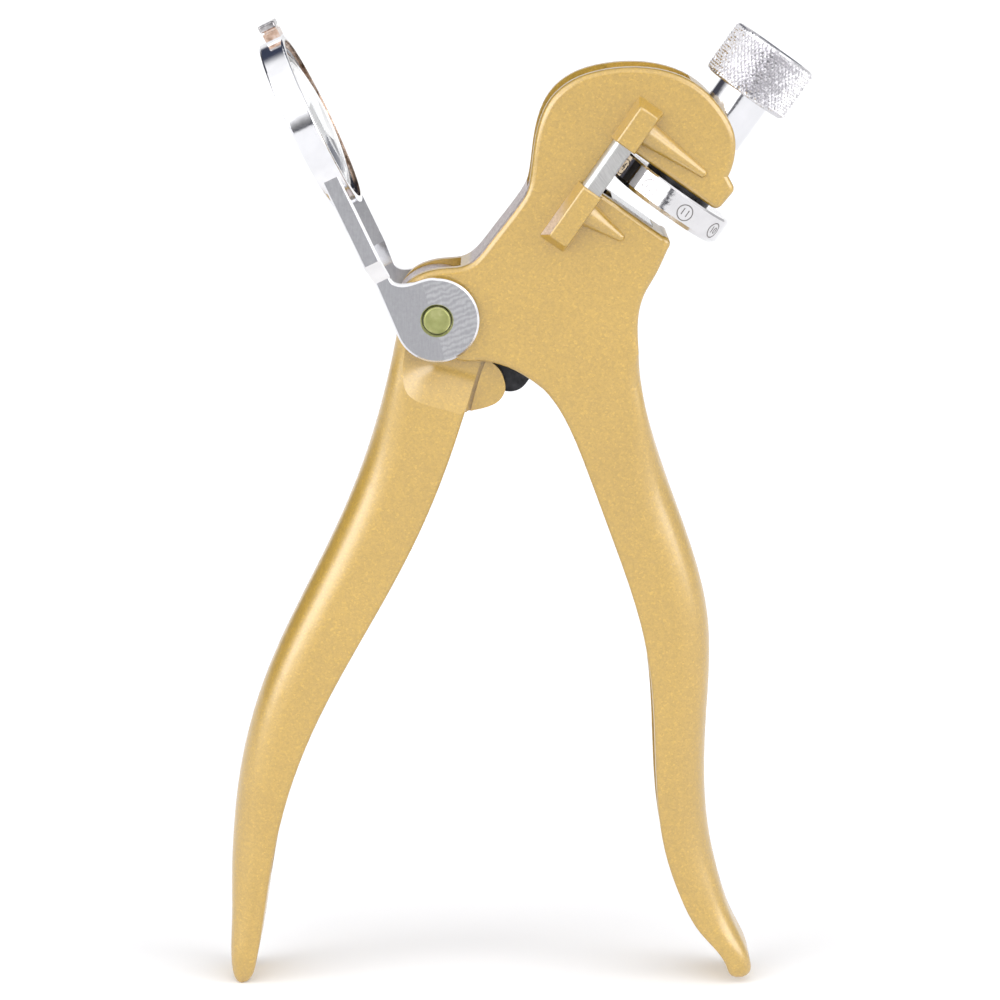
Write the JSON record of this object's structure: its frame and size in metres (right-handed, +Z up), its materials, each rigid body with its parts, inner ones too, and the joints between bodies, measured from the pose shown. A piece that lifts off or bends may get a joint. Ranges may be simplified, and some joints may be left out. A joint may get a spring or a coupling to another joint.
{
  "type": "pistol-grip saw set",
  "caption": "Pistol-grip pliers for setting saw teeth, with a sprung punch, turning bevelled anvil, knurled clamp knob and swing-up magnifier.",
  "frame": {"origin": "bottom centre of the bounding box, with the tool upright on its handle tips and the magnifier raised", "axes": "+Z up through the tool's length, +Y through its thickness away from the viewer, +X from the lever handle to the fixed handle and the knob"},
  "size_m": [0.1056, 0.0324, 0.1779],
  "materials": {
    "gold_paint": "satin metallic gold paint",
    "zinc_plated": "yellow zinc",
    "steel": "ground",
    "black_steel": "black oxide",
    "spring_steel": "drawn wire",
    "chrome": "polished",
    "lens_glass": "clear"
  },
  "bodies": {
    "body": {"body_casting": "gold_paint", "pivot_pin": "zinc_plated", "hub_washers": "steel", "ear_washers": "steel", "stop_bar_front": "steel", "stop_bar_back": "steel", "spring_seat": "steel", "anvil_washer": "steel", "return_spring": "spring_steel"},
    "lever": {"lever_handle": "gold_paint"},
    "punch": {"setting_punch": "black_steel", "punch_spring": "spring_steel"},
    "clamp": {"clamp_plunger": "steel"},
    "anvil": {"anvil_disc": "chrome", "anvil_stud": "steel"},
    "sleeve": {"knob_sleeve": "chrome"},
    "knob": {"clamp_knob": "chrome"},
    "loupe": {"loupe_frame": "chrome", "loupe_lens": "lens_glass", "lens_keeper_ring": "steel"}
  },
  "joints": [
    {"name": "lever_squeeze", "type": "hinge", "parent": "body", "child": "lever", "pos_m": [-0.01375, 0, 0.12592], "axis": [0, -1, 0], "range_deg": [0, 13], "stiffness_Nm_per_rad": 1.2, "springref_deg": -20.05},
    {"name": "punch_travel", "type": "slide", "parent": "body", "child": "punch", "axis": [0.5736, 0, 0.8192], "range_m": [0, 0.0039], "deforming": ["return_spring"]},
    {"name": "clamp_travel", "type": "slide", "parent": "body", "child": "clamp", "axis": [0.5736, 0, 0.8192], "range_m": [0, 0.0031], "deforming": ["punch_spring"]},
    {"name": "anvil_index", "type": "hinge", "parent": "body", "child": "anvil", "pos_m": [0.02725, 0, 0.14604], "axis": [0.5736, 0, 0.8192], "continuous": true},
    {"name": "knob_lift", "type": "slide", "parent": "body", "child": "sleeve", "axis": [0.5736, 0, 0.8192], "range_m": [0, 0.0016]},
    {"name": "knob_turn", "type": "hinge", "parent": "sleeve", "child": "knob", "pos_m": [0.04216, 0, 0.16734], "axis": [0.5736, 0, 0.8192], "range_deg": [0, 540]},
    {"name": "loupe_swing", "type": "hinge", "parent": "body", "child": "loupe", "pos_m": [-0.01375, 0, 0.12592], "axis": [0, 1, 0], "range_deg": [-45, 48]}
  ],
  "couplings": [
    {"joint": "punch_travel", "follows": "lever_squeeze", "m_per_rad": 0.01681},
    {"joint": "clamp_travel", "follows": "lever_squeeze", "m_per_rad": 0.01322},
    {"joint": "knob_lift", "follows": "knob_turn", "m_per_rad": 0.00015915}
  ]
}
